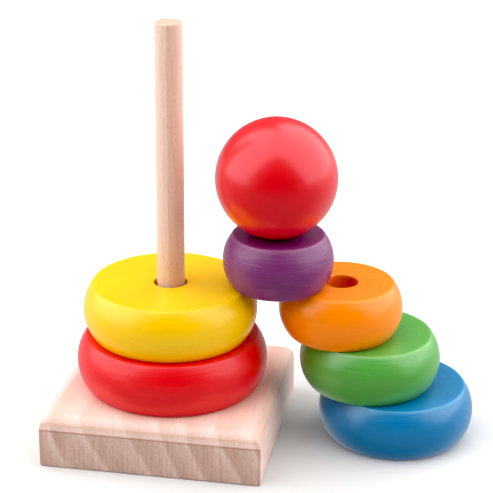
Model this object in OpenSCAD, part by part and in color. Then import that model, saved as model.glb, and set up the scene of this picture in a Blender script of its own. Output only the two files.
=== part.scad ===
// Wooden stacking ring toy: a squarish base with a round post, six painted rings and a ball.
// Two rings are on the post. Three more stand beside it as a stepped tower, the
// smallest ring bridges the two stacks, and the ball stands on that ring.
// Millimetres, +Z up. The origin is on the table, on the axis of the post.

/* [Base] */
// Width of the base, across the grain
base_width = 100; // [80:1:130]
// Depth of the base, along the grain
base_depth = 98; // [80:1:130]
// Height of the base and of every ring, which brings both stacks level under the purple ring
layer_height = 24.4; // [20:0.2:30]
// Radius of the four upright corners
base_corner = 1.5; // [1:0.5:6]
// Radius of the routed top edge
edge_radius = 5.6; // [2:0.2:7]
// Height of the eased shoulder under the routed edge
edge_shoulder = 2.8; // [1:0.1:4]
// Depth of the small step that the router leaves on the shoulder
edge_step = 0.25; // [0.1:0.05:0.5]
// Sanded break of the bottom edge
base_break = 0.8; // [0.2:0.1:1.5]

/* [Post] */
// Diameter of the post
post_diameter = 12.5; // [8:0.5:15]
// Length of the post above the base
post_length = 168.6; // [120:0.2:220]
// Chamfer at the top of the post
post_chamfer = 0.4; // [0.2:0.1:1]
// Width of the shoulder around the tenon, which seats on the base
tenon_shoulder = 1.25; // [0.5:0.25:1.5]
// Length of the tenon that is glued into the base
tenon_length = 15; // [8:0.5:17]

/* [Rings] */
// How far the side of a ring bulges past its flat faces
ring_bulge = 4.4; // [1:0.1:6]
// Radial clearance between the post and a bore
bore_clearance = 1.25; // [0.5:0.05:3]
// Chamfer at the mouth of a bore
bore_chamfer = 0.6; // [0.2:0.1:1.5]
// Widest diameter of the red ring
red_diameter = 87; // [70:1:104]
// Widest diameter of the yellow ring
yellow_diameter = 79; // [66:1:96]
// Widest diameter of the blue ring
blue_diameter = 71; // [58:1:84]
// Widest diameter of the green ring
green_diameter = 64.5; // [53:0.5:77]
// Widest diameter of the orange ring
orange_diameter = 56.5; // [46:0.5:68]
// Widest diameter of the purple ring
purple_diameter = 50; // [41:1:60]

/* [Ball] */
// Diameter of the ball
ball_diameter = 54.5; // [45:0.5:65]
// Depth of the blind bore, from the lowest point of the whole sphere
ball_bore_depth = 28; // [22:1:34]

/* [Screw] */
// Diameter of the wood screw that draws the post down
screw_diameter = 4; // [3:0.5:5]
// Length of the screw, with its head
screw_length = 28; // [20:1:40]
// Diameter of the countersunk head
head_diameter = 8; // [6:0.5:10]
// How deep the head lies below the underside
head_sink = 0.8; // [0.2:0.1:2]
// Radial clearance of the screw in the base
screw_clearance = 0.25; // [0.1:0.05:0.5]

/* [Layout] */
// Gap between the rims of the yellow and the orange ring
tower_gap = 9.3; // [4:0.1:15]
// Bearing of the orange ring, seen from the post
tower_angle = 11.2; // [-30:0.1:30]
// How far the middle of the purple ring lies past the flat top of the yellow one
purple_overhang = 13.2; // [8:0.1:14]
// Bearing of the purple ring, seen from the post
purple_angle = 7.3; // [-30:0.1:30]

/* [Hidden] */
$fn = 96;
overcut = 1;

tenon_diameter = post_diameter - 2 * tenon_shoulder;
bore_radius = post_diameter / 2 + bore_clearance;
mouth_radius = bore_radius + bore_chamfer;
post_top = layer_height + post_length;
drill_point = 118;

// The two rings on the post rest off its middle, by shares of their clearance.
red_at = bore_clearance * [0.29, -0.11];
yellow_at = bore_clearance * [-0.25, 0];
// The tower on the table. Each step leads from one ring's axis to the one below it.
green_step = [13.9, 1.5];
blue_step = [12.8, 0.4];
ball_shift = [-1.3, -0.2];
orange_at = (yellow_diameter / 2 + orange_diameter / 2 + tower_gap)
    * [cos(tower_angle), sin(tower_angle)];
green_at = orange_at + green_step;
blue_at = green_at + blue_step;
purple_at = (yellow_diameter / 2 - ring_bulge + purple_overhang)
    * [cos(purple_angle), sin(purple_angle)];
ball_at = purple_at + ball_shift;

// Heights of the undersides.
red_z = layer_height;
yellow_z = 2 * layer_height;
green_z = layer_height;
orange_z = 2 * layer_height;
purple_z = 3 * layer_height;
ball_radius = ball_diameter / 2;
// The ball stands on the rim of its own bore, so its middle is this far above its seat.
ball_rise = sqrt(pow(ball_radius, 2) - pow(mouth_radius, 2));
ball_z = 4 * layer_height + ball_rise;

head_height = (head_diameter - screw_diameter) / 2;

// Half of the base's upright section, as [distance inwards from the side, height] from
// the bottom edge up: a sanded break, the flat side, the eased shoulder, the step and
// the routed round.
foot_angle = 20;
shoulder_lean = 0.7;
round_foot = shoulder_lean + edge_step;
round_middle = round_foot + edge_radius * cos(foot_angle);
round_foot_z = layer_height - edge_radius * (1 - sin(foot_angle));
edge = concat(
    [for (a = [0:30:90]) base_break * [1 - sin(a), 1 - cos(a)]],
    [for (s = [0:0.25:1]) [shoulder_lean * s * s, round_foot_z - edge_shoulder * (1 - s)]],
    [for (a = [foot_angle:10:90])
        [round_middle - edge_radius * cos(a), layer_height - edge_radius * (1 - sin(a))]]
);

function mirrored(points) =
    [for (i = [len(points) - 1:-1:0]) [-points[i][0], points[i][1]]];

module edge_section(side) {
    half = [for (p = edge) [side / 2 - p[0], p[1]]];
    polygon(concat(half, mirrored(half)));
}

// The routed section turned about an upright corner. Above the height at which the round
// is wider than the corner there is nothing left to turn.
module corner_turn() {
    turned = [for (p = edge) if (p[0] < base_corner) [base_corner - p[0], p[1]]];
    rotate_extrude()
        polygon(concat([[0, 0]], turned, [[0, turned[len(turned) - 1][1]]]));
}

module routed_block() {
    inner_width = base_width - 2 * base_corner;
    inner_depth = base_depth - 2 * base_corner;
    intersection() {
        rotate([90, 0, 0])
            linear_extrude(base_depth, center = true) edge_section(base_width);
        rotate([90, 0, 90])
            linear_extrude(base_width, center = true) edge_section(base_depth);
        union() {
            translate([-base_width / 2, -inner_depth / 2, 0])
                cube([base_width, inner_depth, layer_height]);
            translate([-inner_width / 2, -base_depth / 2, 0])
                cube([inner_width, base_depth, layer_height]);
            for (x = [-1, 1], y = [-1, 1])
                translate([x * inner_width / 2, y * inner_depth / 2, 0]) corner_turn();
        }
    }
}

module base_block() {
    hole_radius = screw_diameter / 2 + screw_clearance;
    cone_radius = head_diameter / 2 + screw_clearance;
    color("#DEC0AE")
    difference() {
        routed_block();
        translate([0, 0, layer_height - tenon_length])
            cylinder(d = tenon_diameter, h = tenon_length + overcut);
        translate([0, 0, -overcut])
            cylinder(r = hole_radius, h = layer_height);
        translate([0, 0, -overcut])
            cylinder(r = cone_radius, h = overcut + head_sink);
        translate([0, 0, head_sink])
            cylinder(r1 = cone_radius, r2 = hole_radius, h = head_height);
    }
}

module post() {
    pilot_depth = head_sink + screw_length - (layer_height - tenon_length);
    color("#E3BE9E")
    difference() {
        union() {
            translate([0, 0, layer_height - tenon_length])
                cylinder(d = tenon_diameter, h = tenon_length);
            translate([0, 0, layer_height])
                cylinder(d = post_diameter, h = post_length - post_chamfer);
            translate([0, 0, post_top - post_chamfer])
                cylinder(d1 = post_diameter, d2 = post_diameter - 2 * post_chamfer,
                    h = post_chamfer);
        }
        translate([0, 0, layer_height - tenon_length - overcut])
            cylinder(d = screw_diameter, h = pilot_depth + overcut);
    }
}

module post_screw() {
    slot_width = head_diameter / 6;
    slot_depth = head_height / 2;
    color("#B9BABC")
    translate([0, 0, head_sink])
    difference() {
        union() {
            cylinder(d1 = head_diameter, d2 = screw_diameter, h = head_height);
            cylinder(d = screw_diameter, h = screw_length - screw_diameter);
            translate([0, 0, screw_length - screw_diameter])
                cylinder(d1 = screw_diameter, d2 = screw_diameter / 4, h = screw_diameter);
        }
        for (turn = [0, 90])
            rotate([0, 0, turn])
            translate([-head_diameter * 0.3, -slot_width / 2, -overcut])
                cube([head_diameter * 0.6, slot_width, slot_depth + overcut]);
    }
}

// A ring stands on its flat face. Its side is an arc through the edges of both faces.
module ring(diameter) {
    flat_radius = diameter / 2 - ring_bulge;
    half = layer_height / 2;
    side_radius = (half * half + ring_bulge * ring_bulge) / (2 * ring_bulge);
    difference() {
        rotate_extrude()
        union() {
            square([flat_radius, layer_height]);
            intersection() {
                square([diameter / 2, layer_height]);
                translate([diameter / 2 - side_radius, half]) circle(r = side_radius);
            }
        }
        translate([0, 0, -overcut])
            cylinder(r = bore_radius, h = layer_height + 2 * overcut);
        mouth();
        translate([0, 0, layer_height]) mirror([0, 0, 1]) mouth();
    }
}

// The cone cut away at the mouth of a bore, which opens downwards at the origin.
module mouth() {
    reach = bore_chamfer + overcut;
    translate([0, 0, -overcut])
        cylinder(r1 = bore_radius + reach, r2 = bore_radius, h = reach);
}

module ball() {
    bore_top = ball_bore_depth - ball_radius;
    point_height = bore_radius / tan(drill_point / 2);
    difference() {
        sphere(r = ball_radius);
        translate([0, 0, -ball_radius - overcut])
            cylinder(r = bore_radius, h = ball_radius + overcut + bore_top);
        translate([0, 0, bore_top])
            cylinder(r1 = bore_radius, r2 = 0, h = point_height);
        translate([0, 0, -ball_rise]) mouth();
        translate([0, 0, -ball_radius - overcut])
            cylinder(r = mouth_radius + overcut, h = ball_radius + overcut - ball_rise);
    }
}

module placed(at, z) translate([at[0], at[1], z]) children();

module red_ring() color("#D2202A") placed(red_at, red_z) ring(red_diameter);
module yellow_ring() color("#FBC80A") placed(yellow_at, yellow_z) ring(yellow_diameter);
module blue_ring() color("#1F7FBE") placed(blue_at, 0) ring(blue_diameter);
module green_ring() color("#5AAA48") placed(green_at, green_z) ring(green_diameter);
module orange_ring() color("#F47D14") placed(orange_at, orange_z) ring(orange_diameter);
module purple_ring() color("#7B3A86") placed(purple_at, purple_z) ring(purple_diameter);
module red_ball() color("#D81E1E") placed(ball_at, ball_z) ball();

base_block();
post();
post_screw();
red_ring();
yellow_ring();
blue_ring();
green_ring();
orange_ring();
purple_ring();
red_ball();
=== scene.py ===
"""Wooden stacking ring toy, dressed for its portrait.

A nearly square beech base carries a turned dowel with the red and the yellow ring on it. The
blue, green and orange rings stand beside it as a stepped tower, the purple ring bridges
the two stacks and the red ball stands on top. Every piece is a surface worked out on a
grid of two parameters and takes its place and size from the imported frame.
"""

from __future__ import annotations

import logging
import math
from dataclasses import dataclass
from enum import Enum

import bpy
import numpy as np
from mathutils import Matrix, Vector


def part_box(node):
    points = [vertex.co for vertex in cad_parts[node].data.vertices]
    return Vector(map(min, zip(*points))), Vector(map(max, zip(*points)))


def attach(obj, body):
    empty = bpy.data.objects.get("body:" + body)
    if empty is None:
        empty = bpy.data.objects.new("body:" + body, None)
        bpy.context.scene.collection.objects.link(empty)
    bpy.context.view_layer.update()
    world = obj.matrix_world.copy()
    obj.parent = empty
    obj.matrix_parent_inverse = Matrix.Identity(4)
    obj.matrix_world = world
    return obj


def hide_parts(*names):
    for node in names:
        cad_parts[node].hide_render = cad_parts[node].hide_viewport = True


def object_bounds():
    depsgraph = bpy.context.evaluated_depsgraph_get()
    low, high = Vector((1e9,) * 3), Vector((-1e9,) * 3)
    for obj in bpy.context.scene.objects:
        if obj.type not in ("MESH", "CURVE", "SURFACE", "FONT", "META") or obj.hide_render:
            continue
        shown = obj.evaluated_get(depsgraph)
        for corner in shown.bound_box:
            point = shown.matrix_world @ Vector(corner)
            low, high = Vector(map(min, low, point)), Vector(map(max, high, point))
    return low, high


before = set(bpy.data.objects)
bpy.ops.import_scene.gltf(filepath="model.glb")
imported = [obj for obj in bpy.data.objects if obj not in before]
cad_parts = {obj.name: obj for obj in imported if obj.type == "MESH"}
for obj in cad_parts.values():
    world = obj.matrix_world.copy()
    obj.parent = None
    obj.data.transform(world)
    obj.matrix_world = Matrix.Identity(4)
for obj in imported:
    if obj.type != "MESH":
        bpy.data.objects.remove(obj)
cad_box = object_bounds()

log = logging.getLogger("stacking_toy")

MM = 0.001

Tree = bpy.types.NodeTree
Socket = bpy.types.NodeSocket
Pair = tuple[float, float]
Triple = tuple[float, float, float]


# --------------------------------------------------------------------------------------
# Sections and surfaces
# --------------------------------------------------------------------------------------


def arc(centre: Pair, radius: float, start: float, end: float, count: int) -> np.ndarray:
    """Points on a circle, as centre + radius * (cos a, sin a), with a in degrees.

    Args:
        centre: Middle of the circle, as (radius from the axis, height).
        radius: Radius of the circle.
        start: First angle.
        end: Last angle.
        count: Number of points.

    Returns:
        An array of shape (count, 2).
    """
    angles = np.radians(np.linspace(start, end, count))
    return np.array(centre) + radius * np.stack([np.cos(angles), np.sin(angles)], axis=1)


def line(start: Pair, end: Pair, count: int) -> np.ndarray:
    """Evenly spaced points from start to end, both included."""
    share = np.linspace(0.0, 1.0, count)[:, None]
    return np.array(start) * (1.0 - share) + np.array(end) * share


def chain(*runs: np.ndarray) -> np.ndarray:
    """Joins runs of a section end to end and drops points that repeat the one before."""
    points = np.concatenate(runs)
    step = np.linalg.norm(np.diff(points, axis=0), axis=1)
    return points[np.concatenate([[True], step > 1e-7])]


def travelled(section: np.ndarray) -> np.ndarray:
    """Distance along a section from its first point, as the running sum of its steps."""
    step = np.linalg.norm(np.diff(section, axis=0), axis=1)
    return np.concatenate([[0.0], np.cumsum(step)])


def spun(section: np.ndarray, middle: Pair, columns: int) -> np.ndarray:
    """Turns a section about an upright axis: (r cos t, r sin t, z) moved to the middle.

    Args:
        section: Points as (radius, height).
        middle: Where the axis stands, as (x, y).
        columns: Number of points round the axis.

    Returns:
        A grid of shape (rows, columns, 3).
    """
    turn = np.linspace(0.0, 2.0 * np.pi, columns, endpoint=False)[None, :]
    radius, height = section[:, :1], section[:, 1:]
    across, deep = middle[0] + radius * np.cos(turn), middle[1] + radius * np.sin(turn)
    return np.stack([across, deep, height + 0.0 * turn], axis=2)


def spun_way(grid: np.ndarray, axis: Pair) -> np.ndarray:
    """Unit level vectors from an upright axis towards each point of a grid."""
    level = (grid - np.array([*axis, 0.0])) * np.array([1.0, 1.0, 0.0])
    return level / np.maximum(np.linalg.norm(level, axis=2, keepdims=True), 1e-9)


def bell(values: np.ndarray, middle: float, width: float) -> np.ndarray:
    """A hump of height 1 about a middle: exp(-((v - middle) / width) ** 2)."""
    return np.exp(-(((values - middle) / width) ** 2))


def ripple(points: np.ndarray, wavelength: float, seed: int, waves: int = 14) -> np.ndarray:
    """Smooth unevenness between about -1 and 1: a sum of plane waves, sin(k . p + phase).

    The wave vectors k point every way, with lengths near 2 pi / wavelength.

    Args:
        points: Grid of points.
        wavelength: Typical distance from crest to crest.
        seed: Start of the random draw, so that each piece has its own pattern.
        waves: Number of waves in the sum.

    Returns:
        One height for each point.
    """
    draw = np.random.default_rng(seed)
    ways = draw.normal(size=(waves, 3))
    ways /= np.linalg.norm(ways, axis=1, keepdims=True)
    lengths = 2.0 * np.pi / (wavelength * draw.uniform(0.7, 1.6, waves))
    phases = draw.uniform(0.0, 2.0 * np.pi, waves)
    height = np.sin(points @ (ways * lengths[:, None]).T + phases).sum(axis=-1)
    return height / math.sqrt(waves / 2.0) / 2.0


def outward(grid: np.ndarray, poles: bool) -> np.ndarray:
    """Unit normals of a grid: the cross product of its steps round and along the section."""
    round_step = np.roll(grid, -1, axis=1) - np.roll(grid, 1, axis=1)
    if poles:
        along_step = np.gradient(grid, axis=0)
    else:
        along_step = np.roll(grid, -1, axis=0) - np.roll(grid, 1, axis=0)
    normal = np.cross(round_step, along_step)
    length = np.linalg.norm(normal, axis=2, keepdims=True)
    return normal / np.maximum(length, 1e-15)


def grid_faces(rows: int, columns: int, poles: bool) -> tuple[np.ndarray, np.ndarray]:
    """Corner lists of a closed grid: four-sided cells, and fans at the poles.

    Columns always join up. Without poles the rows join up too. With poles the first and
    the last row are one vertex each.

    Args:
        rows: Number of rows, poles included.
        columns: Number of columns.
        poles: Whether the grid ends in two poles.

    Returns:
        The cells' corners, of shape (n, 4), and the fans' corners, of shape (m, 3).
    """
    col = np.arange(columns)
    after = np.roll(col, -1)
    if not poles:
        row = np.arange(rows)[:, None] * columns
        row_after = np.roll(np.arange(rows), -1)[:, None] * columns
        cells = np.stack([row + col, row + after, row_after + after, row_after + col], axis=2)
        return cells.reshape(-1, 4), np.zeros((0, 3), dtype=int)
    inner = rows - 2
    row = 1 + np.arange(inner - 1)[:, None] * columns
    cells = np.stack(
        [row + col, row + after, row + columns + after, row + columns + col], axis=2
    ).reshape(-1, 4)
    last = 1 + (inner - 1) * columns
    top = last + columns
    first_fan = np.stack([np.zeros_like(col), 1 + after, 1 + col], axis=1)
    last_fan = np.stack([last + col, last + after, np.full_like(col, top)], axis=1)
    return cells, np.concatenate([first_fan, last_fan])


def placed(name: str, data: bpy.types.ID) -> bpy.types.Object:
    """Makes an object and links it to the scene."""
    made = bpy.data.objects.new(name, data)
    bpy.context.scene.collection.objects.link(made)
    return made


def make_piece(
    name: str, grid: np.ndarray, poles: bool, layers: dict[str, np.ndarray] | None = None
) -> bpy.types.Object:
    """Puts a grid of points into a smooth mesh object at the origin.

    Args:
        name: Name of the object and of its mesh.
        grid: Points of shape (rows, columns, 3), in metres.
        poles: Whether the first and the last row are one point each.
        layers: Numbers to store on the vertices: one for each row or for each point.

    Returns:
        The object, linked to the scene.
    """
    rows, columns = grid.shape[:2]

    def flat(values: np.ndarray) -> np.ndarray:
        """Lists the grid's vertices row by row, with one for each pole."""
        listed = values.reshape(rows * columns, -1)
        if poles:
            listed = np.concatenate([listed[:1], listed[columns:-columns], listed[-1:]])
        return listed

    points = flat(grid)
    cells, fans = grid_faces(rows, columns, poles)
    corners = np.concatenate([cells.ravel(), fans.ravel()])
    starts = np.concatenate(
        [np.arange(len(cells)) * 4, len(cells) * 4 + np.arange(len(fans)) * 3]
    )
    mesh = bpy.data.meshes.new(name)
    mesh.vertices.add(len(points))
    mesh.vertices.foreach_set("co", points.astype(np.float32).ravel())
    mesh.loops.add(len(corners))
    mesh.loops.foreach_set("vertex_index", corners.astype(np.int32))
    mesh.polygons.add(len(starts))
    mesh.polygons.foreach_set("loop_start", starts.astype(np.int32))
    mesh.polygons.foreach_set("use_smooth", np.ones(len(starts), dtype=bool))
    for layer, values in (layers or {}).items():
        stored = mesh.attributes.new(layer, "FLOAT", "POINT")
        values = values[:, None] if values.ndim == 1 else values
        spread = flat(np.broadcast_to(values, (rows, columns)))
        stored.data.foreach_set("value", spread.astype(np.float32).ravel())
    mesh.update(calc_edges=True)
    mesh.validate()
    return placed(name, mesh)


# --------------------------------------------------------------------------------------
# Finishes
# --------------------------------------------------------------------------------------


def linear(colour: str) -> tuple[float, float, float, float]:
    """Turns an sRGB hex colour, such as "D2202A", into linear red, green, blue and alpha."""
    channels = [int(colour[i : i + 2], 16) / 255.0 for i in (0, 2, 4)]
    bright = [c / 12.92 if c <= 0.04045 else ((c + 0.055) / 1.055) ** 2.4 for c in channels]
    return (*bright, 1.0)


def plug(tree: Tree, node: bpy.types.Node, inputs: dict[str | int, object]) -> None:
    """Gives each of a node's inputs its value, or links it to the output socket given."""
    for key, value in inputs.items():
        if isinstance(value, Socket):
            tree.links.new(value, node.inputs[key])
        else:
            node.inputs[key].default_value = value


def add(
    tree: Tree, kind: str, inputs: dict[str | int, object] | None = None, **settings: object
) -> bpy.types.Node:
    """Adds one node.

    Args:
        tree: The tree that it goes into.
        kind: Its type without the "ShaderNode" in front.
        inputs: For each socket a value, or the output socket that is linked to it.
        settings: The node's own properties.

    Returns:
        The new node.
    """
    made = tree.nodes.new("ShaderNode" + kind)
    for key, value in settings.items():
        setattr(made, key, value)
    plug(tree, made, inputs or {})
    return made


def fresh(name: str) -> tuple[bpy.types.Material, Tree, bpy.types.Node]:
    """Starts a material with one Principled shader wired to its output."""
    material = bpy.data.materials.new(name)
    material.use_nodes = True
    tree = material.node_tree
    tree.nodes.clear()
    shader = add(tree, "BsdfPrincipled")
    add(tree, "OutputMaterial", {"Surface": shader.outputs["BSDF"]})
    return material, tree, shader


def faded(tree: Tree, value: Socket, low: float, high: float) -> Socket:
    """Runs a value smoothly from 0 at low to 1 at high."""
    span = {"Value": value, "From Min": low, "From Max": high}
    return add(tree, "MapRange", span, interpolation_type="SMOOTHSTEP").outputs["Result"]


def product(tree: Tree, first: object, second: object) -> Socket:
    """Multiplies two values, either of which may be a socket."""
    return add(tree, "Math", {0: first, 1: second}, operation="MULTIPLY").outputs[0]


def weighted(tree: Tree, value: object, weight: object, base: object) -> Socket:
    """Works out value * weight + base, each of which may be a socket."""
    return add(tree, "Math", {0: value, 1: weight, 2: base}, operation="MULTIPLY_ADD").outputs[0]


def blended(tree: Tree, share: object, first: object, second: object) -> Socket:
    """Mixes two colours by a share from 0 to 1."""
    return add(tree, "Mix", {0: share, 6: first, 7: second}, data_type="RGBA").outputs[2]


def stored(tree: Tree, layer: str) -> Socket:
    """Reads a layer of numbers that a piece carries on its vertices."""
    return add(tree, "Attribute", attribute_name=layer).outputs["Fac"]


def millimetres(tree: Tree, middle: Triple, per_mm: Triple) -> Socket:
    """Object coordinates measured from a middle, times a number of cycles for each millimetre."""
    where = add(tree, "TexCoord").outputs["Object"]
    moved = add(tree, "VectorMath", {0: where, 1: middle}, operation="SUBTRACT").outputs[0]
    scale = tuple(n / MM for n in per_mm)
    return add(tree, "VectorMath", {0: moved, 1: scale}, operation="MULTIPLY").outputs[0]


def noise(
    tree: Tree,
    per_mm: Triple,
    detail: float = 2.0,
    roughness: float = 0.5,
    middle: Triple = (0.0, 0.0, 0.0),
) -> Socket:
    """A noise about 0.5 over object coordinates, with its cycles for each millimetre."""
    at = millimetres(tree, middle, per_mm)
    inputs = {"Vector": at, "Scale": 1.0, "Detail": detail, "Roughness": roughness}
    return add(tree, "TexNoise", inputs).outputs["Fac"]


def bumped(
    tree: Tree,
    height: Socket,
    strength: float,
    depth: float,
    normal: Socket | None = None,
    sunk: bool = False,
) -> Socket:
    """Lays a relief over a normal, raised or sunk by a depth in millimetres."""
    inputs = {"Height": height, "Strength": strength, "Distance": depth * MM}
    if normal is not None:
        inputs["Normal"] = normal
    return add(tree, "Bump", inputs, invert=sunk).outputs[0]


@dataclass(frozen=True)
class Enamel:
    """Water-based toy enamel, dipped and lathe-polished over primed wood.

    It gives an even, saturated colour with a soft gloss that takes on some of that
    colour. Faint turning marks run round the piece, the wood's pores telegraph through
    here and there, and it lies thin and rough on the drilled wood of the bore. Crisp
    edges are lighter, partly for the thinner film there and partly as a painted highlight.
    """

    name: str
    colour: str
    thin_and_highlight_colour: str
    bore_colour: str
    glint: str = "FFFFFF"
    gloss: float = 0.65
    roughness: float = 0.3
    polish: float = 0.2
    polish_roughness: float = 0.2
    brushed: float = 0.5
    pores: float = 0.25
    nibs: float = 0.0
    seed: float = 0.0

    def make(self, middle: Triple) -> bpy.types.Material:
        """Builds the material for a piece turned about an upright axis.

        Args:
            middle: A point on the piece's axis, in metres.

        Returns:
            The material.
        """
        material, tree, shader = fresh(self.name)
        along, edge, bore = (stored(tree, layer) for layer in ("along", "edge", "bore"))

        # Turning marks: a noise that changes every millimetre or two along the section,
        # a little coarse so that it shows, and only a few times on the way round.
        level = millimetres(tree, middle, (MM, MM, 0.0))
        way = add(tree, "VectorMath", {0: level}, operation="NORMALIZE").outputs[0]
        wide_way = add(tree, "VectorMath", {0: way, 3: 2.2}, operation="SCALE").outputs[0]
        lifted = add(tree, "CombineXYZ", {"Z": product(tree, along, 0.75 / MM)}).outputs[0]
        groove_at = add(tree, "VectorMath", {0: wide_way, 1: lifted}, operation="ADD").outputs[0]
        marks = add(tree, "TexNoise", {"Vector": groove_at, "Scale": 1.0, "Detail": 4.0})
        marks = marks.outputs["Fac"]

        # Pores: fine dashes along the grain, which runs across the piece.
        grain_from = (middle[0] + self.seed, middle[1], middle[2])
        pores = noise(tree, (0.16, 1.5, 1.5), 4.0, middle=grain_from)
        open_pores = faded(tree, pores, 0.53, 0.7)

        # Peel: the soft unevenness of a dipped film, about three millimetres across.
        film_from = (middle[0], middle[1] + self.seed, middle[2])
        film = noise(tree, (0.33, 0.33, 0.33), 3.0, middle=film_from)

        # Nibs: specks of dust caught in the film, under a millimetre across.
        nib_at = millimetres(tree, grain_from, (0.14, 0.14, 0.14))
        cells = add(tree, "TexVoronoi", {"Vector": nib_at, "Scale": 1.0})
        dome = faded(tree, cells.outputs["Distance"], 0.14, 0.0)
        lot = add(tree, "SeparateColor", {0: cells.outputs["Color"]}).outputs[0]
        nibs = product(tree, dome, faded(tree, lot, 0.5, 0.55))

        # Drilled wood: torn fibres, seven tenths of a millimetre across.
        torn = noise(tree, (1.0, 1.6, 1.6), 4.0, middle=middle)

        colour, thin_and_highlight_colour = linear(self.colour), linear(self.thin_and_highlight_colour)
        bore_colour = linear(self.bore_colour)
        thin = weighted(tree, film, 0.1, product(tree, marks, 0.08))
        tint = blended(tree, thin, colour, thin_and_highlight_colour)
        # The edge layer lightens the creases and the bore's mouth, partly for the thinner film
        # there and partly as a painted highlight.
        tint = blended(tree, product(tree, edge, 0.3), tint, thin_and_highlight_colour)
        tint = blended(tree, product(tree, open_pores, 0.3 * self.pores), tint, bore_colour)
        raw = blended(tree, product(tree, torn, 0.45), bore_colour, colour)
        tint = blended(tree, bore, tint, raw)

        scale = {"From Min": 0.3, "From Max": 0.7}
        scale |= {"To Min": -0.08 * self.brushed, "To Max": 0.1 * self.brushed}
        dull = add(tree, "MapRange", {"Value": marks} | scale).outputs["Result"]
        dull = add(tree, "Math", {0: dull, 1: self.roughness}, operation="ADD").outputs[0]
        dull = weighted(tree, bore, 0.35, dull)

        normal = bumped(tree, marks, self.brushed, 0.24)
        normal = bumped(tree, open_pores, self.pores, 0.06, normal, sunk=True)
        normal = bumped(tree, film, 0.5, 0.1, normal)
        normal = bumped(tree, nibs, self.nibs, 0.16, normal)
        normal = bumped(tree, product(tree, torn, bore), 0.8, 0.5, normal)
        surface = {
            "Base Color": tint,
            "Roughness": dull,
            "Normal": normal,
            "Coat Normal": normal,
            "IOR": 1.5,
            "Specular IOR Level": self.gloss,
            "Specular Tint": linear(self.glint),
            "Coat Weight": self.polish,
            "Coat Roughness": self.polish_roughness,
        }
        plug(tree, shader, surface)
        return material


@dataclass(frozen=True)
class BeechBoard:
    """Pale steamed beech, sawn, routed along its top edge and clear-lacquered to a satin.

    The grain runs from front to back. The front and the back are sawn end grain, darker,
    with growth rings in slanting bands, packed pores and upright saw marks, and a
    burnished brown line round the face. A brown line along the router's step is painted
    shade. The other faces show long faint stripes with short brown flecks.
    """

    name: str = "beech_board"
    early: str = "F6D6CA"
    late: str = "E3BCAC"
    fleck: str = "B07C64"
    end_early: str = "F2DACE"
    end_middle: str = "E5C9BB"
    end_late: str = "D3B2A4"
    burnish_and_shade_brown: str = "A8745A"
    roughness: float = 0.42
    ring_width: float = 13.0
    pith_x: float = 215.0
    pith_z: float = 102.0

    def make(self) -> bpy.types.Material:
        """Builds the material."""
        material, tree, shader = fresh(self.name)
        end, burnish_and_step_shade = stored(tree, "end_cut"), stored(tree, "burnish_and_step_shade")

        # Growth rings are circles about the pith, pulled about by a slow noise. Each
        # starts with a pale band and darkens towards the next one.
        from_pith = millimetres(tree, (self.pith_x * MM, 0.0, self.pith_z * MM), (1.0, 0.0, 1.0))
        distance = add(tree, "VectorMath", {0: from_pith}, operation="LENGTH").outputs["Value"]
        slow = noise(tree, (0.018, 0.004, 0.004), 1.0)
        wavy = weighted(tree, slow, 36.0, distance)

        def ring_share(width: float) -> Socket:
            """How far a point lies between a ring of a given width and the next, 0 to 1."""
            rings = product(tree, wavy, 1.0 / width)
            return add(tree, "Math", {0: rings}, operation="FRACT").outputs[0]

        year = ring_share(self.ring_width)
        pale_band = product(tree, faded(tree, year, 0.26, 0.03), faded(tree, year, 0.0, 0.02))
        darkening = product(tree, faded(tree, year, 0.1, 0.75), faded(tree, year, 1.0, 0.9))
        fine_line = faded(tree, ring_share(self.ring_width / 3.7), 0.5, 0.05)

        # Fibres are a third of a millimetre wide and centimetres long.
        fibre = noise(tree, (1.3, 0.05, 1.3), 5.0, 0.6)

        # Ray flecks: dashes one to three millimetres long.
        rays = noise(tree, (1.8, 0.45, 1.2))
        flecks = faded(tree, rays, 0.6, 0.74)

        # Saw marks: upright scores on the end grain, a little coarse so that they show.
        saw = noise(tree, (0.9, 0.1, 0.04), 4.0, 0.7)
        scores = product(tree, faded(tree, saw, 0.42, 0.64), end)

        # Packed pores on the end grain, half a millimetre across.
        pores = noise(tree, (1.4, 0.4, 1.4), 3.0)
        packed = product(tree, faded(tree, pores, 0.45, 0.7), end)

        fleck, end_early = linear(self.fleck), linear(self.end_early)
        along = blended(tree, product(tree, darkening, 0.4), linear(self.early), linear(self.late))
        # Some rings are plainer than others.
        shown = faded(tree, noise(tree, (0.045, 0.0, 0.02)), 0.3, 0.52)
        dark = product(tree, darkening, shown)
        across = blended(tree, dark, linear(self.end_middle), linear(self.end_late))
        across = blended(tree, product(tree, fine_line, 0.15), across, end_early)
        across = blended(tree, product(tree, pale_band, shown), across, end_early)
        tint = blended(tree, end, along, across)
        fibres = faded(tree, fibre, 0.45, 0.75)
        for mark, weight in ((fibres, 0.2), (flecks, 0.2), (scores, 0.3), (packed, 0.2)):
            tint = blended(tree, product(tree, mark, weight), tint, fleck)
        # Mixes in brown: burnishing on the arrises and corners, and painted shade along the
        # router's step.
        tint = blended(tree, product(tree, burnish_and_step_shade, 0.85), tint, linear(self.burnish_and_shade_brown))

        dull = weighted(tree, end, 0.14, self.roughness)
        dull = weighted(tree, fibre, 0.12, dull)
        normal = bumped(tree, fibre, 0.4, 0.1)
        normal = bumped(tree, flecks, 0.3, 0.05, normal, sunk=True)
        normal = bumped(tree, scores, 0.6, 0.15, normal, sunk=True)
        plug(tree, shader, {"Base Color": tint, "Roughness": dull, "Normal": normal})
        return material


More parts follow.
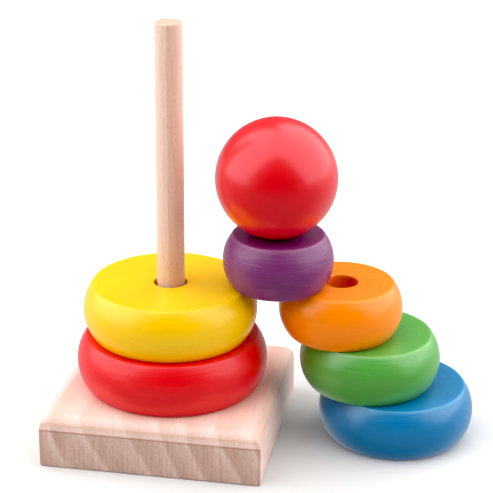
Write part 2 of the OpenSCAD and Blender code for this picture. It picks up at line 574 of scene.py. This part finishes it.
@dataclass(frozen=True)
class BeechDowel:
    """Beech dowel rod, machine-turned and sanded along its length.

    Fine fibres and short brown ray flecks run up it. A flat band runs through it along a
    fixed way across, pinker than the pale wood on both sides of it and sharply edged on one.
    The sawn top shows pale end grain.
    """

    name: str = "beech_dowel"
    light: str = "EBC8B6"
    warm: str = "E4B8A4"
    fleck: str = "A87454"
    end_tone: str = "D9B09E"
    band_way: Triple = (0.985, 0.175, 0.0)
    sharp_edge: float = -0.6
    soft_edge: float = 4.2
    roughness: float = 0.42

    def make(self) -> bpy.types.Material:
        """Builds the material."""
        material, tree, shader = fresh(self.name)
        end = stored(tree, "end_cut")

        # The band is measured across the dowel along a fixed way, and a slow noise bends it a
        # little.
        at = millimetres(tree, (0.0, 0.0, 0.0), (1.0, 1.0, 1.0))
        across = add(tree, "VectorMath", {0: at, 1: self.band_way}, operation="DOT_PRODUCT")
        bend = noise(tree, (0.3, 0.3, 0.008), middle=(0.003, 0.001, 0.0))
        across = weighted(tree, bend, 0.9, across.outputs["Value"])
        past_sharp = faded(tree, across, self.sharp_edge, self.sharp_edge + 0.5)
        before_soft = faded(tree, across, self.soft_edge + 2.5, self.soft_edge - 1.0)
        layer = product(tree, past_sharp, before_soft)
        fibre = noise(tree, (1.8, 1.8, 0.06), 5.0, 0.6)
        rays = noise(tree, (1.7, 1.7, 0.7), 3.0)
        flecks = faded(tree, rays, 0.54, 0.72)
        knots = noise(tree, (0.35, 0.35, 0.35))

        fleck = linear(self.fleck)
        tint = blended(tree, layer, linear(self.light), linear(self.warm))
        tint = blended(tree, product(tree, faded(tree, fibre, 0.45, 0.75), 0.24), tint, fleck)
        tint = blended(tree, product(tree, flecks, 0.26), tint, fleck)
        knotty = product(tree, faded(tree, knots, 0.5, 0.62), 0.35)
        tint = blended(tree, end, tint, blended(tree, knotty, linear(self.end_tone), fleck))
        dull = weighted(tree, fibre, 0.14, self.roughness)
        normal = bumped(tree, fibre, 0.35, 0.1)
        normal = bumped(tree, flecks, 0.3, 0.05, normal, sunk=True)
        plug(tree, shader, {"Base Color": tint, "Roughness": dull, "Normal": normal})
        return material


@dataclass(frozen=True)
class ZincSteel:
    """Bright zinc-plated steel, as drawn and tumbled, with a faint scratchy bloom."""

    name: str = "zinc_steel"
    bright: str = "C9CBCE"
    dim: str = "A8ABB0"
    roughness: float = 0.3

    def make(self) -> bpy.types.Material:
        """Builds the material."""
        material, tree, shader = fresh(self.name)
        bloom = noise(tree, (1.1, 1.1, 1.1), 4.0)
        tint = blended(tree, faded(tree, bloom, 0.35, 0.7), linear(self.bright), linear(self.dim))
        dull = weighted(tree, bloom, 0.2, self.roughness - 0.1)
        normal = bumped(tree, bloom, 0.15, 0.05)
        plug(tree, shader, {"Base Color": tint, "Roughness": dull, "Normal": normal})
        plug(tree, shader, {"Metallic": 1.0})
        return material


@dataclass(frozen=True)
class FloorPaper:
    """Matte studio paper with a barely visible tooth, graded from pale grey to white behind;
    the whiter back is painted light, standing in for the light that falls off far from the tent.
    """

    name: str = "floor_paper"
    front: str = "D8D8D8"
    back: str = "FCFCFC"
    graded_from: float = 0.0
    graded_to: float = 0.35

    def make(self) -> bpy.types.Material:
        """Builds the material."""
        material, tree, shader = fresh(self.name)
        where = add(tree, "TexCoord").outputs["Object"]
        depth = add(tree, "SeparateXYZ", {0: where}).outputs["Y"]
        share = faded(tree, depth, self.graded_from, self.graded_to)
        # Painted light: the paper turns whiter towards the back, where less light reaches it.
        tint = blended(tree, share, linear(self.front), linear(self.back))
        normal = bumped(tree, noise(tree, (0.6, 0.6, 0.6), 3.0), 0.1, 0.1)
        plug(tree, shader, {"Base Color": tint, "Roughness": 0.9, "Normal": normal})
        plug(tree, shader, {"Specular IOR Level": 0.1})
        return material


# --------------------------------------------------------------------------------------
# Pieces
# --------------------------------------------------------------------------------------


@dataclass(frozen=True)
class Place:
    """A node's box in the frame, in millimetres: its upright axis, its size, how high it lies."""

    axis: Pair
    width: float
    depth: float
    low: float
    high: float

    @classmethod
    def of(cls, node: str) -> Place:
        """Reads a node's box."""
        low, high = (np.array(corner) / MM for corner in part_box(node))
        middle, size = (low + high) / 2, high - low
        return cls((middle[0], middle[1]), size[0], size[1], low[2], high[2])

    def point(self, height: float) -> Triple:
        """A point on the axis, in metres."""
        return self.axis[0] * MM, self.axis[1] * MM, height * MM


class Body(Enum):
    """The bodies of the frame that pieces ride on."""

    BASE = "base"
    RED = "red"
    YELLOW = "yellow"
    PURPLE = "purple"
    BALL = "ball"
    BLUE = "blue"
    GREEN = "green"
    ORANGE = "orange"


def fit(
    piece: bpy.types.Object, body: Body, node: str, finish: bpy.types.Material
) -> None:
    """Gives a piece its finish, seats it on its body and puts it in its node's place."""
    piece.data.materials.append(finish)
    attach(piece, body.value)
    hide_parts(node)
    vertices = len(piece.data.vertices)
    log.info("%s: %d vertices, for node %s on body %s", piece.name, vertices, node, body.value)


@dataclass
class Stand:
    """The base block, the post and the screw that draws the post down. Sizes in millimetres."""

    corner: float = 1.5
    worn_corner: float = 1.1
    edge_radius: float = 5.6
    edge_shoulder: float = 2.8
    edge_step: float = 0.4
    shoulder_lean: float = 0.55
    foot_angle: float = 20.0
    break_radius: float = 0.8
    tenon_radius: float = 5.0
    tenon_length: float = 15.0
    tip_radius: float = 0.45
    post_waver: float = 0.02
    post_grain: float = 1.6
    screw_radius: float = 2.0
    head_radius: float = 4.0
    head_height: float = 2.0
    head_edge: float = 0.12
    screw_clearance: float = 0.25
    thread_pitch: float = 1.6
    thread_depth: float = 0.5
    thread_run_in: float = 1.5
    recess_half_width: float = 0.62
    recess_depth: float = 1.15
    recess_reach: float = 2.3
    recess_soften: float = 0.12

    def foot_drop(self) -> float:
        """How far the foot of the routed round lies below the block's top."""
        return self.edge_radius * (1.0 - math.sin(math.radians(self.foot_angle)))

    def edge_section(self, height: float) -> np.ndarray:
        """The upright section of the block's side, from the bottom break to the flat top.

        A quarter circle breaks the bottom edge and the side rises plumb to a crisp
        arris. The eased shoulder leans in as a straight line from there. The router's
        step follows, and then its round, a circle from foot_angle up to the crown.

        Args:
            height: Height of the block.

        Returns:
            Points as (distance inwards from the side, height).
        """
        foot = math.radians(self.foot_angle)
        round_foot = self.shoulder_lean + self.edge_step
        round_middle = round_foot + self.edge_radius * math.cos(foot)
        foot_height = height - self.foot_drop()
        arris_height = foot_height - self.edge_shoulder
        base_break = arc((self.break_radius, self.break_radius), self.break_radius, 270, 180, 9)
        side = line((0.0, self.break_radius + 0.05), (0.0, arris_height - 0.12), 26)
        arris = line((0.01, arris_height - 0.04), (0.03, arris_height + 0.04), 2)
        shoulder = line((0.05, arris_height + 0.12), (self.shoulder_lean, foot_height - 0.08), 8)
        step_start = (self.shoulder_lean + 0.05, foot_height - 0.02)
        step = line(step_start, (round_foot - 0.03, foot_height), 4)
        crown_middle = (round_middle, height - self.edge_radius)
        crown = arc(crown_middle, self.edge_radius, 180 - self.foot_angle, 90, 30)
        return chain(base_break, side, arris, shoulder, step, crown)

    def outline(
        self, inset: np.ndarray, half: Pair, side_points: int, bend_points: int
    ) -> np.ndarray:
        """Rounded rectangles, one for each inset: straight sides joined by quarter circles.

        Args:
            inset: Distance inwards from the block's side, for each row.
            half: Half the block's width and half its depth.
            side_points: Points on each straight side.
            bend_points: Points on each corner.

        Returns:
            Points of shape (rows, columns, 2), from the +X side onwards.
        """
        share = np.linspace(-1.0, 1.0, side_points, endpoint=False)[None, :]
        turn = np.linspace(0.0, np.pi / 2, bend_points, endpoint=False)[None, :]
        bend = np.maximum(self.corner - inset, self.worn_corner)[:, None]
        sides = []
        for quarter in range(4):
            out, along = (half if quarter % 2 == 0 else half[::-1])
            reach = (out - inset)[:, None]
            flat_end = (along - inset)[:, None] - bend
            straight = np.stack([reach + 0.0 * share, flat_end * share], axis=2)
            curve = np.stack(
                [reach - bend + bend * np.cos(turn), flat_end + bend * np.sin(turn)], axis=2
            )
            points = np.concatenate([straight, curve], axis=1)
            cos, sin = ((1, 0), (0, 1), (-1, 0), (0, -1))[quarter]
            sides.append(points @ np.array([[cos, sin], [-sin, cos]]))
        return np.concatenate(sides, axis=1)

    def block(self) -> bpy.types.Object:
        """The base block, as one grid from its underside round to the inside of its hole.

        The flat faces are straight blends between the rectangular outline and the circle
        of the hole: p = (1 - s) * outline + s * circle.

        Returns:
            The finished piece.
        """
        place = Place.of("base_block")
        half = (place.width / 2, place.depth / 2)
        height = place.high - place.low
        socket_floor = Place.of("post").low
        sink = Place.of("post_screw").low
        clear_radius = self.screw_radius + self.screw_clearance
        mouth_radius = self.head_radius + self.screw_clearance

        section = self.edge_section(height)
        ring = self.outline(section[:, 0], half, 72, 14)
        levels = np.broadcast_to(section[:, None, 1:], (*ring.shape[:2], 1))
        side = np.concatenate([ring, levels], axis=2)
        angle = np.arctan2(ring[0, :, 1], ring[0, :, 0])
        compass = np.stack([np.cos(angle), np.sin(angle), 0.0 * angle], axis=1)

        def circle(radius: float, level: float) -> np.ndarray:
            """One row of the hole, at the angles of the outline's points."""
            return radius * compass + np.array([0.0, 0.0, level])

        def flat(start: np.ndarray, end: np.ndarray, count: int) -> np.ndarray:
            """Rows that run from one outline to another, without the last."""
            share = np.linspace(0.0, 1.0, count, endpoint=False)[:, None, None]
            return start[None] * (1.0 - share) + end[None] * share

        tight = 0.12
        hole = (
            (self.tenon_radius, height - tight, 5),
            (self.tenon_radius, socket_floor, 3),
            (clear_radius, socket_floor, 4),
            (clear_radius, sink + self.head_height, 4),
            (mouth_radius, sink, 3),
            (mouth_radius, tight, 0),
        )
        bends = [circle(radius, level) for radius, level, _ in hole]
        counts = [count for _, _, count in hole]
        under = flat(circle(mouth_radius + tight, 0.0), side[0], 24)
        top = flat(side[-1], circle(self.tenon_radius + tight, height), 24)[1:]
        wall = [flat(*ends) for ends in zip(bends, bends[1:], counts)]
        grid = np.concatenate([under, side, top, *wall])
        layers = self.marks(grid, len(under), section)
        grid = grid + np.array([*place.axis, 0.0])
        piece = make_piece("base_board", grid * MM, False, layers)
        fit(piece, Body.BASE, "base_block", BeechBoard().make())
        return piece

    def marks(self, grid: np.ndarray, first: int, section: np.ndarray) -> dict[str, np.ndarray]:
        """Where the block shows end grain, where its arrises are burnished brown, and where
        painted shade lines the router's step.

        Args:
            grid: The block's points.
            first: Row at which the side's section starts.
            section: The side's section, whose first part is the bottom break and the face.

        Returns:
            The two layers by name.
        """
        normal = outward(grid, poles=False)
        rows = np.arange(len(grid))[:, None]
        height = grid[:, :, 2]
        foot_height = section[:, 1].max() - self.foot_drop()
        arris_height = foot_height - self.edge_shoulder
        on_side = (rows >= first) & (rows < first + len(section))
        level = np.maximum(np.linalg.norm(normal[:, :, :2], axis=2), 1e-9)
        facing = np.abs(normal[:, :, 1]) / level
        sawn = np.clip((facing - 0.6) / 0.2, 0.0, 1.0)
        face = on_side & (height < arris_height + 0.02)
        end_cut = np.where(face, sawn, 0.3 * sawn * on_side)
        upright = bell(facing, 0.66, 0.3) * face
        top_line = bell(height, arris_height, 0.3) * sawn * on_side
        # Painted shade: a brown line along the router's step, at the shaded foot of the round.
        step_shade = bell(height, foot_height, 0.35) * on_side * (0.4 + 0.6 * sawn)
        burnish_and_step_shade = 0.8 * upright + 0.75 * top_line + 0.5 * step_shade
        return {"end_cut": end_cut, "burnish_and_step_shade": np.clip(burnish_and_step_shade, 0.0, 1.0)}

    def dowel(self) -> bpy.types.Object:
        """The post, turned about its axis, with its tenon and the blind pilot hole in it.

        A faint lengthwise unevenness of a few hundredths of a millimetre comes from a
        noise that hardly changes with height.

        Returns:
            The finished piece.
        """
        place = Place.of("post")
        radius = place.width / 2
        tenon_end, tip = place.low, place.high
        seat = tenon_end + self.tenon_length
        pilot_end = Place.of("post_screw").high
        section = chain(
            np.array([(0.0, pilot_end)]),
            line((self.screw_radius, pilot_end), (self.screw_radius, tenon_end), 4),
            line((self.screw_radius + 0.1, tenon_end), (self.tenon_radius - 0.1, tenon_end), 3),
            line((self.tenon_radius, tenon_end + 0.1), (self.tenon_radius, seat - 0.05), 4),
            line((self.tenon_radius + 0.05, seat + 0.01), (radius - 0.05, seat + 0.01), 3),
            line((radius, seat + 0.06), (radius, tip - self.tip_radius), 90),
            arc((radius - self.tip_radius, tip - self.tip_radius), self.tip_radius, 10, 90, 7),
            line((radius - self.tip_radius - 0.1, tip), (0.0, tip), 9),
        )
        grid = spun(section, place.axis, 144)
        stretched = grid * np.array([1.0, 1.0, 0.03])
        uneven = ripple(stretched, self.post_grain, 5)[:, :, None] + 1.0
        shaft = (section[:, 0] > self.tenon_radius + 0.5) & (section[:, 1] > seat + 0.5)
        sanded = np.where(shaft[:, None, None], uneven * self.post_waver, 0.0)
        grid = grid - sanded * spun_way(grid, place.axis)
        end_cut = (section[:, 1] > tip - 0.02).astype(float)
        piece = make_piece("post_dowel", grid * MM, True, {"end_cut": end_cut})
        fit(piece, Body.BASE, "post", BeechDowel().make())
        return piece

    def screw(self) -> bpy.types.Object:
        """The countersunk screw: a turned section with a helical thread and a cross recess.

        The thread is radius - depth * (1 + cos(2 pi z / pitch - t)) / 2, and the recess
        lifts the head's face wherever |x| or |y| is within its width.

        Returns:
            The finished piece.
        """
        place = Place.of("post_screw")
        head, tip = place.low, place.high
        shank = self.screw_radius
        neck = head + self.head_height
        edge = self.head_edge
        section = chain(
            line((0.0, head), (self.head_radius - edge, head), 40),
            arc((self.head_radius - edge, head + edge), edge, 290, 360, 4),
            line((self.head_radius, head + 0.14), (shank, neck + 0.1), 6),
            line((shank, neck + 0.4), (shank, tip - 2 * shank), 130),
            line((shank, tip - 2 * shank + 0.05), (0.0, tip), 24),
        )
        grid = spun(section, place.axis, 120)
        across = grid[:, :, :2] - np.array(place.axis)
        arm = np.min(np.abs(across), axis=2)
        radius = np.linalg.norm(across, axis=2)
        soften = self.recess_soften
        cut = np.clip((self.recess_half_width - arm) / soften, 0.0, 1.0)
        cut = cut * np.clip((self.recess_reach - radius) / (3 * soften), 0.0, 1.0)
        on_face = (section[:, 1] < head + 0.01)[:, None]
        grid[:, :, 2] += np.where(on_face, self.recess_depth * cut, 0.0)
        turn = np.linspace(0.0, 2.0 * np.pi, grid.shape[1], endpoint=False)[None, :]
        own_radius, height = section[:, :1], section[:, 1:]
        wave = 0.5 * (1.0 + np.cos(2.0 * np.pi * height / self.thread_pitch - turn))
        run_in = self.thread_run_in
        threaded = np.clip((height - neck - run_in) / run_in, 0.0, 1.0)
        threaded = threaded * np.clip(own_radius / shank, 0.0, 1.0)
        shrink = self.thread_depth * wave * threaded
        keep = np.where(own_radius > 0.0, 1.0 - shrink / np.maximum(own_radius, 1e-9), 1.0)
        grid[:, :, :2] = np.array(place.axis) + across * keep[:, :, None]
        piece = make_piece("post_wood_screw", grid * MM, True)
        fit(piece, Body.BASE, "post_screw", ZincSteel().make())
        return piece

    def build(self) -> None:
        """Makes the three pieces."""
        self.block()
        self.dowel()
        self.screw()


@dataclass
class TurnedRing:
    """One ring, with flat faces, a bulging side and a bore. Sizes in millimetres."""

    body: Body
    enamel: Enamel
    seed: int
    bulge: float = 4.4
    bore_radius: float = 7.5
    mouth_round: float = 0.6
    crease_radius: float = 0.6
    seat_gap: float = 0.03
    side_waver: float = 0.045
    bore_waver: float = 0.05
    edge_width: float = 0.9
    mouth_width: float = 0.5
    edge_depth: float = 1.2
    paint_reach: float = 0.3
    columns: int = 288

    def section(self, radius: float, low: float, high: float) -> np.ndarray:
        """The ring's upright section, once round, outwards along the underside first.

        The side is a circle of radius q through the edges of both faces, where
        q = (h * h + b * b) / (2 * b) for half height h and bulge b. A small circle
        rounds each crease and touches the side and the face.

        Args:
            radius: Widest radius of the ring.
            low: Height of its underside.
            high: Height of its top.

        Returns:
            Points as (radius, height).
        """
        half = (high - low) / 2.0
        middle = (high + low) / 2.0
        side_radius = (half * half + self.bulge * self.bulge) / (2.0 * self.bulge)
        side_middle = radius - side_radius
        crease = self.crease_radius
        rise = half - crease
        out = side_middle + math.sqrt((side_radius - crease) ** 2 - rise**2)
        start = math.degrees(math.atan2(rise, out - side_middle))
        bore, mouth = self.bore_radius, self.mouth_round
        return chain(
            line((bore + mouth, low), (out - 0.3, low), 26),
            arc((out, low + crease), crease, 270, 360 - start, 9),
            arc((side_middle, middle), side_radius, -start, start, 64),
            arc((out, high - crease), crease, start, 90, 9),
            line((out - 0.3, high), (bore + mouth + 0.2, high), 26),
            arc((bore + mouth, high - mouth), mouth, 90, 180, 8),
            line((bore, high - mouth - 0.4), (bore, low + mouth + 0.4), 20),
            arc((bore + mouth, low + mouth), mouth, 180, 262, 8),
        )

    def build(self) -> bpy.types.Object:
        """Makes the ring. Its side and creases are a few hundredths of a millimetre uneven."""
        node = self.body.value + "_ring"
        place = Place.of(node)
        low, high = place.low + self.seat_gap, place.high - self.seat_gap
        section = self.section(place.width / 2, low, high)
        across, height = section.T
        grid = spun(section, place.axis, self.columns)
        face = place.width / 2 - self.bulge
        outer = np.clip((across - face + 1.5) / 1.5, 0.0, 1.0)[:, None]
        inner = (across < self.bore_radius + 0.1)[:, None]
        wave = outer * (ripple(grid, 11.0, self.seed) - 1.0) * self.side_waver
        torn = inner * (ripple(grid, 1.3, self.seed + 50) - 1.0) * self.bore_waver
        grid = grid + spun_way(grid, place.axis) * (wave - torn)[:, :, None]
        # Edge layer: lightens the finish along the creases and the bore's mouth, partly as a
        # painted highlight.
        edge = bell(across, face, self.edge_width)
        edge += bell(across, self.bore_radius + 0.4, self.mouth_width)
        depth = (high - low) / 2.0 - np.abs(height - (low + high) / 2.0)
        inside = across < self.bore_radius + 0.2
        layers = {
            "along": travelled(section) * MM,
            "edge": np.where(depth < self.edge_depth, edge, 0.0),
            "bore": np.where(inside, np.clip((depth - self.paint_reach) / 1.2, 0.0, 1.0), 0.0),
        }
        piece = make_piece(node + "_turned", grid * MM, False, layers)
        finish = self.enamel.make(place.point((place.low + place.high) / 2))
        fit(piece, self.body, node, finish)
        return piece


@dataclass
class Ball:
    """The ball that tops the toy, with its blind bore. Sizes in millimetres."""

    enamel: Enamel
    bore_radius: float = 7.5
    mouth_round: float = 0.6
    bore_depth: float = 28.0
    drill_point: float = 118.0
    skin_waver: float = 0.05
    edge_width: float = 0.5
    seed: int = 9
    columns: int = 288

    def build(self) -> bpy.types.Object:
        """Makes the ball: a drilled point, the bore's wall, its rounded mouth, the sphere.

        The sphere is a circle about the ball's middle, from the mouth up to the pole,
        and its skin wavers by a few hundredths of a millimetre.

        Returns:
            The finished piece.
        """
        place = Place.of("red_ball")
        radius = place.width / 2
        middle = place.high - radius
        mouth_radius = self.bore_radius + self.mouth_round
        mouth_angle = math.degrees(math.asin(mouth_radius / radius))
        rim = middle - radius * math.cos(math.radians(mouth_angle))
        bore_top = middle - radius + self.bore_depth
        apex = bore_top + self.bore_radius / math.tan(math.radians(self.drill_point / 2))
        mouth_middle = (mouth_radius + 0.05, rim + self.mouth_round + 0.05)
        section = chain(
            line((0.0, apex), (self.bore_radius - 0.05, bore_top), 10),
            line((self.bore_radius, bore_top - 0.2), (self.bore_radius, rim + 1.0), 24),
            arc(mouth_middle, self.mouth_round, 180, 262, 8),
            arc((0.0, middle), radius, -90 + mouth_angle + 1.0, 90, 150),
        )
        grid = spun(section, place.axis, self.columns)
        from_core = grid - np.array([*place.axis, middle])
        distance = np.linalg.norm(from_core, axis=2, keepdims=True)
        skin = distance > radius - 0.01
        clear = np.clip((grid[:, :, 2:] - rim) / 3.0, 0.0, 1.0)
        wave = ripple(grid, 13.0, self.seed)[:, :, None] - 1.0
        way = from_core / np.maximum(distance, 1e-9)
        grid = grid + way * skin * clear * wave * self.skin_waver
        from_rim = np.abs(section[:, 1] - rim)
        inside = (section[:, 0] < self.bore_radius + 0.2) & (section[:, 1] < apex + 0.1)
        layers = {
            "along": travelled(section) * MM,
            # Edge layer: lightens the finish round the bore's rim, partly as a painted highlight.
            "edge": bell(from_rim, 0.0, self.edge_width),
            "bore": np.where(inside, np.clip(from_rim / 1.5, 0.0, 1.0), 0.0),
        }
        piece = make_piece("red_ball_turned", grid * MM, True, layers)
        finish = self.enamel.make(place.point(middle))
        fit(piece, Body.BALL, "red_ball", finish)
        return piece


# --------------------------------------------------------------------------------------
# Studio
# --------------------------------------------------------------------------------------


def lamp(name: str, size: Pair, radiance: float) -> bpy.types.Object:
    """Makes a rectangular lamp, its size in metres, that gives off an even radiance."""
    light = bpy.data.lights.new(name, "AREA")
    light.shape = "RECTANGLE"
    light.size, light.size_y = size
    light.energy = radiance * math.pi * size[0] * size[1]
    return placed(name, light)


@dataclass(frozen=True)
class Panel:
    """One slope of the light tent: a lit sheet from the ridge down to the eaves.

    Distances are in metres from the middle of the toy.
    """

    name: str
    side: float
    ahead: float = 0.55
    behind: float = 0.5
    ridge_height: float = 0.95
    ridge_gap: float = 0.012
    eaves_out: float = 0.95
    yaw: float = 2.5
    radiance: float = 2.3

    def hang(self, middle: Vector, azimuth: float) -> None:
        """Hangs the panel so that it faces the toy.

        Args:
            middle: Middle of the toy.
            azimuth: Which way the tent looks, in degrees.
        """
        right, back, up = Vector((1.0, 0.0, 0.0)), Vector((0.0, 1.0, 0.0)), Vector((0.0, 0.0, 1.0))
        out = self.eaves_out - self.ridge_gap
        down_slope = (right * self.side * out - up * self.ridge_height).normalized()
        inward = back.cross(down_slope) * self.side
        length = self.ahead + self.behind
        slope = math.hypot(out, self.ridge_height)
        centre = right * self.side * (self.eaves_out + self.ridge_gap) / 2
        centre = centre + back * (self.behind - self.ahead) / 2 + up * self.ridge_height / 2

        panel = lamp(self.name, (slope, length), self.radiance)
        axes = Matrix((down_slope, (-inward).cross(down_slope), -inward)).transposed().to_4x4()
        axes.translation = centre
        hinge = Matrix.Rotation(math.radians(azimuth - self.side * self.yaw), 4, "Z")
        panel.matrix_world = Matrix.Translation(middle) @ hinge @ axes


@dataclass
class Studio:
    """A light tent on a white floor, open to a dim room that is brightest behind the toy."""

    panels: tuple[Panel, ...] = (
        Panel("panel_left", -1.0, radiance=2.45),
        Panel("panel_right", 1.0, behind=0.95),
    )
    room_dim: float = 0.05
    room_bright: float = 0.15
    floor_bright: float = 0.7
    bright_way: float = -8.0
    bright_cosines: Pair = (-0.4, 0.6)
    wash_size: Pair = (2.6, 1.0)
    wash_behind: float = 1.15
    wash_height: float = 0.6
    wash_spread: float = 75.0
    wash_radiance: float = 1.6
    black_point: float = 0.018
    floor_side: float = 8.0
    view_azimuth: float = 10.07
    view_drop: float = 21.58
    view_roll: float = 0.43
    view_distance: float = 0.740
    lens: float = 121.5
    aim: Triple = (-0.00949, -0.00128, -0.004)

    def floor(self) -> None:
        """Lays the floor, just under everything that stands on it."""
        half = self.floor_side / 2
        level = -0.05 * MM
        corners = [(x * half, y * half, level) for x, y in ((-1, -1), (1, -1), (1, 1), (-1, 1))]
        mesh = bpy.data.meshes.new("floor")
        mesh.from_pydata(corners, [], [(0, 1, 2, 3)])
        floor = placed("floor", mesh)
        floor.data.materials.append(FloorPaper().make())
        floor.visible_glossy = False

    def wash(self, middle: Vector) -> None:
        """Hangs a lamp over the paper behind the toy, with too narrow a beam to reach the toy."""
        wash = lamp("backdrop_wash", self.wash_size, self.wash_radiance)
        wash.data.spread = math.radians(self.wash_spread)
        wash.visible_glossy = False
        turn = Matrix.Rotation(math.radians(self.view_azimuth), 4, "Z")
        away = Matrix.Translation((0.0, self.wash_behind, self.wash_height))
        wash.matrix_world = Matrix.Translation(middle) @ turn @ away

    def room(self) -> None:
        """Gives the room round the tent its light.

        The brightness rises smoothly with the cosine between a direction and the way
        ahead. Below the horizon it stands for the white floor beyond the paper.
        """
        world = bpy.data.worlds.new("room")
        world.use_nodes = True
        tree = world.node_tree
        turn = math.radians(self.view_azimuth + self.bright_way)
        brightest = (-math.sin(turn), math.cos(turn), 0.0)
        where = add(tree, "TexCoord").outputs["Generated"]
        cosine = add(tree, "VectorMath", {0: where, 1: brightest}, operation="DOT_PRODUCT")
        share = faded(tree, cosine.outputs["Value"], *self.bright_cosines)
        height = add(tree, "SeparateXYZ", {0: where}).outputs["Z"]
        below = faded(tree, height, 0.05, -0.1)
        gain = self.floor_bright - self.room_bright
        peak = weighted(tree, below, gain, self.room_bright)
        strength = weighted(tree, share, peak, self.room_dim)
        background = tree.nodes["Background"]
        background.inputs["Color"].default_value = (1.0, 1.0, 1.0, 1.0)
        tree.links.new(strength, background.inputs["Strength"])
        bpy.context.scene.world = world

    def camera(self, middle: Vector) -> None:
        """Sets the camera on its line of sight, looking down at the toy."""
        azimuth, drop = math.radians(self.view_azimuth), math.radians(self.view_drop)
        level = math.cos(drop)
        ahead = Vector((-math.sin(azimuth) * level, math.cos(azimuth) * level, -math.sin(drop)))
        data = bpy.data.cameras.new("camera")
        data.lens = self.lens
        camera = placed("camera", data)
        camera.location = middle + Vector(self.aim) - ahead * self.view_distance
        turned = ahead.to_track_quat("-Z", "Y").to_matrix().to_4x4()
        rolled = turned @ Matrix.Rotation(math.radians(self.view_roll), 4, "Z")
        camera.rotation_mode = "QUATERNION"
        camera.rotation_quaternion = rolled.to_quaternion()
        bpy.context.scene.camera = camera

    def build(self, middle: Vector) -> None:
        """Sets up floor, light and camera round the middle of the toy."""
        self.floor()
        for panel in self.panels:
            panel.hang(middle, self.view_azimuth)
        self.wash(middle)
        self.room()
        self.camera(middle)
        view = bpy.context.scene.view_settings
        view.view_transform = "Standard"
        view.use_curve_mapping = True
        view.curve_mapping.black_level = (self.black_point,) * 3
        view.curve_mapping.update()


RINGS = (
    TurnedRing(
        Body.RED,
        Enamel(
            "red_enamel", "E00A14", "F03848", "7A0508",
            gloss=0.5, roughness=0.4, nibs=0.9, seed=0.013,
        ),
        seed=11,
    ),
    TurnedRing(
        Body.YELLOW,
        Enamel(
            "yellow_enamel", "F8C400", "FFD018", "B86A00",
            gloss=0.55, roughness=0.36, seed=0.027,
        ),
        seed=12,
    ),
    TurnedRing(
        Body.BLUE,
        Enamel(
            "blue_enamel", "0672AA", "40A8D4", "0A3458",
            gloss=0.75, roughness=0.34, nibs=1.0, seed=0.041,
        ),
        seed=13,
    ),
    TurnedRing(
        Body.GREEN,
        Enamel(
            "green_enamel", "4C9E3A", "90CC78", "235214",
            gloss=0.9, roughness=0.34, seed=0.053,
        ),
        seed=14,
    ),
    TurnedRing(
        Body.ORANGE,
        Enamel(
            "orange_enamel", "FA8402", "FFA41C", "EC5C12",
            gloss=0.5, roughness=0.34, brushed=0.65, seed=0.067,
        ),
        seed=15,
    ),
    TurnedRing(
        Body.PURPLE,
        Enamel(
            "purple_enamel", "742C68", "B464A0", "32103C",
            roughness=0.4, brushed=0.9, pores=0.45, seed=0.079,
        ),
        seed=16,
    ),
)

BALL = Ball(
    Enamel(
        "ball_enamel", "D60C14", "F04050", "7A0508",
        glint="FFD4DC", gloss=0.7, roughness=0.36, polish=0.4, polish_roughness=0.19,
        brushed=0.06, pores=0.1, seed=0.091,
    )
)


def main() -> None:
    """Builds the toy and its studio."""
    logging.basicConfig(level=logging.INFO, format="%(name)s: %(message)s")
    Stand().build()
    for ring in RINGS:
        ring.build()
    BALL.build()
    Studio().build((cad_box[0] + cad_box[1]) / 2)


if __name__ == "__main__":
    main()
